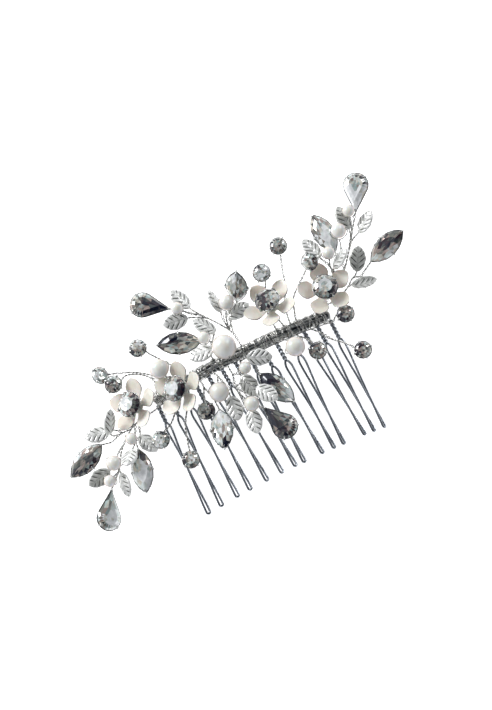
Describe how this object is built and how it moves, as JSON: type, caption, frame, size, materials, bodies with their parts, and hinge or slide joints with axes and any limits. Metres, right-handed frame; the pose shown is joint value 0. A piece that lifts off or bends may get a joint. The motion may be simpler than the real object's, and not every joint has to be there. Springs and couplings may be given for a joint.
{
  "type": "hair comb",
  "caption": "Decorative wire hair comb: an arched, wire-bound spine with hairpin teeth and sprays of flowers, crystals, pearls and glass leaves.",
  "frame": {"origin": "middle of the spine, on its centre line", "axes": "+X along the row of teeth, -Y along the teeth, +Z away from the scalp"},
  "size_m": [0.1333, 0.0805, 0.0216],
  "materials": {
    "spine_wire": "polished",
    "binding_wire": "polished",
    "tooth_wire": "polished",
    "pearl": "satin pearl lacquer",
    "enamel": "satin",
    "setting": "polished",
    "crystal": "faceted",
    "leaf_glass": "ribbed",
    "stem_wire": "polished"
  },
  "bodies": {
    "comb": {"spine_core": "spine_wire", "binding_wire": "binding_wire", "tooth_01": "tooth_wire", "tooth_02": "tooth_wire", "tooth_03": "tooth_wire", "tooth_04": "tooth_wire", "tooth_05": "tooth_wire", "tooth_06": "tooth_wire", "tooth_07": "tooth_wire", "tooth_08": "tooth_wire", "tooth_09": "tooth_wire", "tooth_10": "tooth_wire", "tooth_11": "tooth_wire", "tooth_12": "tooth_wire", "tooth_13": "tooth_wire", "tooth_14": "tooth_wire", "flower_1": "enamel", "flower_2": "enamel", "flower_3": "enamel", "flower_4": "enamel", "flower_settings": "setting", "flower_crystals": "crystal", "teardrop_settings": "setting", "teardrop_crystals": "crystal", "navette_settings": "setting", "navette_crystals": "crystal", "round_settings": "setting", "round_crystals": "crystal", "leaves_top_right": "leaf_glass", "leaves_right": "leaf_glass", "leaves_upper_left": "leaf_glass", "leaves_lower_left": "leaf_glass", "leaves_centre": "leaf_glass", "stems_top_right": "stem_wire", "stems_right": "stem_wire", "stems_top": "stem_wire", "stems_upper_left": "stem_wire", "stems_left": "stem_wire", "stems_lower_left": "stem_wire", "stems_centre": "stem_wire", "stems_lower_right": "stem_wire", "stems_flowers": "stem_wire"},
    "pearl_01": {"pearl_01": "pearl"},
    "pearl_02": {"pearl_02": "pearl"},
    "pearl_03": {"pearl_03": "pearl"},
    "pearl_04": {"pearl_04": "pearl"},
    "pearl_05": {"pearl_05": "pearl"},
    "pearl_06": {"pearl_06": "pearl"},
    "pearl_07": {"pearl_07": "pearl"},
    "pearl_08": {"pearl_08": "pearl"},
    "pearl_09": {"pearl_09": "pearl"},
    "pearl_10": {"pearl_10": "pearl"},
    "pearl_11": {"pearl_11": "pearl"},
    "pearl_12": {"pearl_12": "pearl"},
    "pearl_13": {"pearl_13": "pearl"},
    "pearl_14": {"pearl_14": "pearl"},
    "pearl_15": {"pearl_15": "pearl"}
  },
  "joints": [
    {"name": "pearl_01_turn", "type": "hinge", "parent": "comb", "child": "pearl_01", "pos_m": [-0.0035, 0.0023, 0.00733], "axis": [0, -0.9903, 0.139], "continuous": true},
    {"name": "pearl_02_turn", "type": "hinge", "parent": "comb", "child": "pearl_02", "pos_m": [-0.0256, 0.0062, 0.00408], "axis": [-0.9363, -0.3511, 0], "continuous": true},
    {"name": "pearl_03_turn", "type": "hinge", "parent": "comb", "child": "pearl_03", "pos_m": [0.0172, -0.0073, 0.00414], "axis": [0.9558, 0.2941, 0], "continuous": true},
    {"name": "pearl_04_turn", "type": "hinge", "parent": "comb", "child": "pearl_04", "pos_m": [-0.0114, -0.0098, 0.00448], "axis": [0.9551, -0.2964, 0], "continuous": true},
    {"name": "pearl_05_turn", "type": "hinge", "parent": "comb", "child": "pearl_05", "pos_m": [0.0035, 0.0156, 0.00653], "axis": [-0.8669, 0.4985, 0], "continuous": true},
    {"name": "pearl_06_turn", "type": "hinge", "parent": "comb", "child": "pearl_06", "pos_m": [0.0466, 0.0216, 0.00317], "axis": [-0.9473, 0.3202, 0], "continuous": true},
    {"name": "pearl_07_turn", "type": "hinge", "parent": "comb", "child": "pearl_07", "pos_m": [-0.0522, -0.0148, 0.00177], "axis": [0.6866, -0.727, 0], "continuous": true},
    {"name": "pearl_08_turn", "type": "hinge", "parent": "comb", "child": "pearl_08", "pos_m": [-0.0036, -0.0184, 0.00573], "axis": [0.9929, 0.1191, 0], "continuous": true},
    {"name": "pearl_09_turn", "type": "hinge", "parent": "comb", "child": "pearl_09", "pos_m": [-0.0118, 0.0214, 0.00602], "axis": [-0.6839, -0.7295, 0], "continuous": true},
    {"name": "pearl_10_turn", "type": "hinge", "parent": "comb", "child": "pearl_10", "pos_m": [-0.0082, 0.0086, 0.00563], "axis": [-0.8064, -0.5914, 0], "continuous": true},
    {"name": "pearl_11_turn", "type": "hinge", "parent": "comb", "child": "pearl_11", "pos_m": [0.0524, 0.0264, 0.00237], "axis": [-0.9578, 0.2873, 0], "continuous": true},
    {"name": "pearl_12_turn", "type": "hinge", "parent": "comb", "child": "pearl_12", "pos_m": [0.0404, 0.016, 0.00457], "axis": [-0.932, 0.3624, 0], "continuous": true},
    {"name": "pearl_13_turn", "type": "hinge", "parent": "comb", "child": "pearl_13", "pos_m": [-0.0558, -0.0196, 0.00157], "axis": [0.5145, -0.8575, 0], "continuous": true},
    {"name": "pearl_14_turn", "type": "hinge", "parent": "comb", "child": "pearl_14", "pos_m": [-0.0436, -0.0102, 0.00197], "axis": [0.7071, -0.7071, 0], "continuous": true},
    {"name": "pearl_15_turn", "type": "hinge", "parent": "comb", "child": "pearl_15", "pos_m": [-0.0004, -0.0067, 0.006], "axis": [0.9793, 0.2026, 0], "continuous": true}
  ]
}
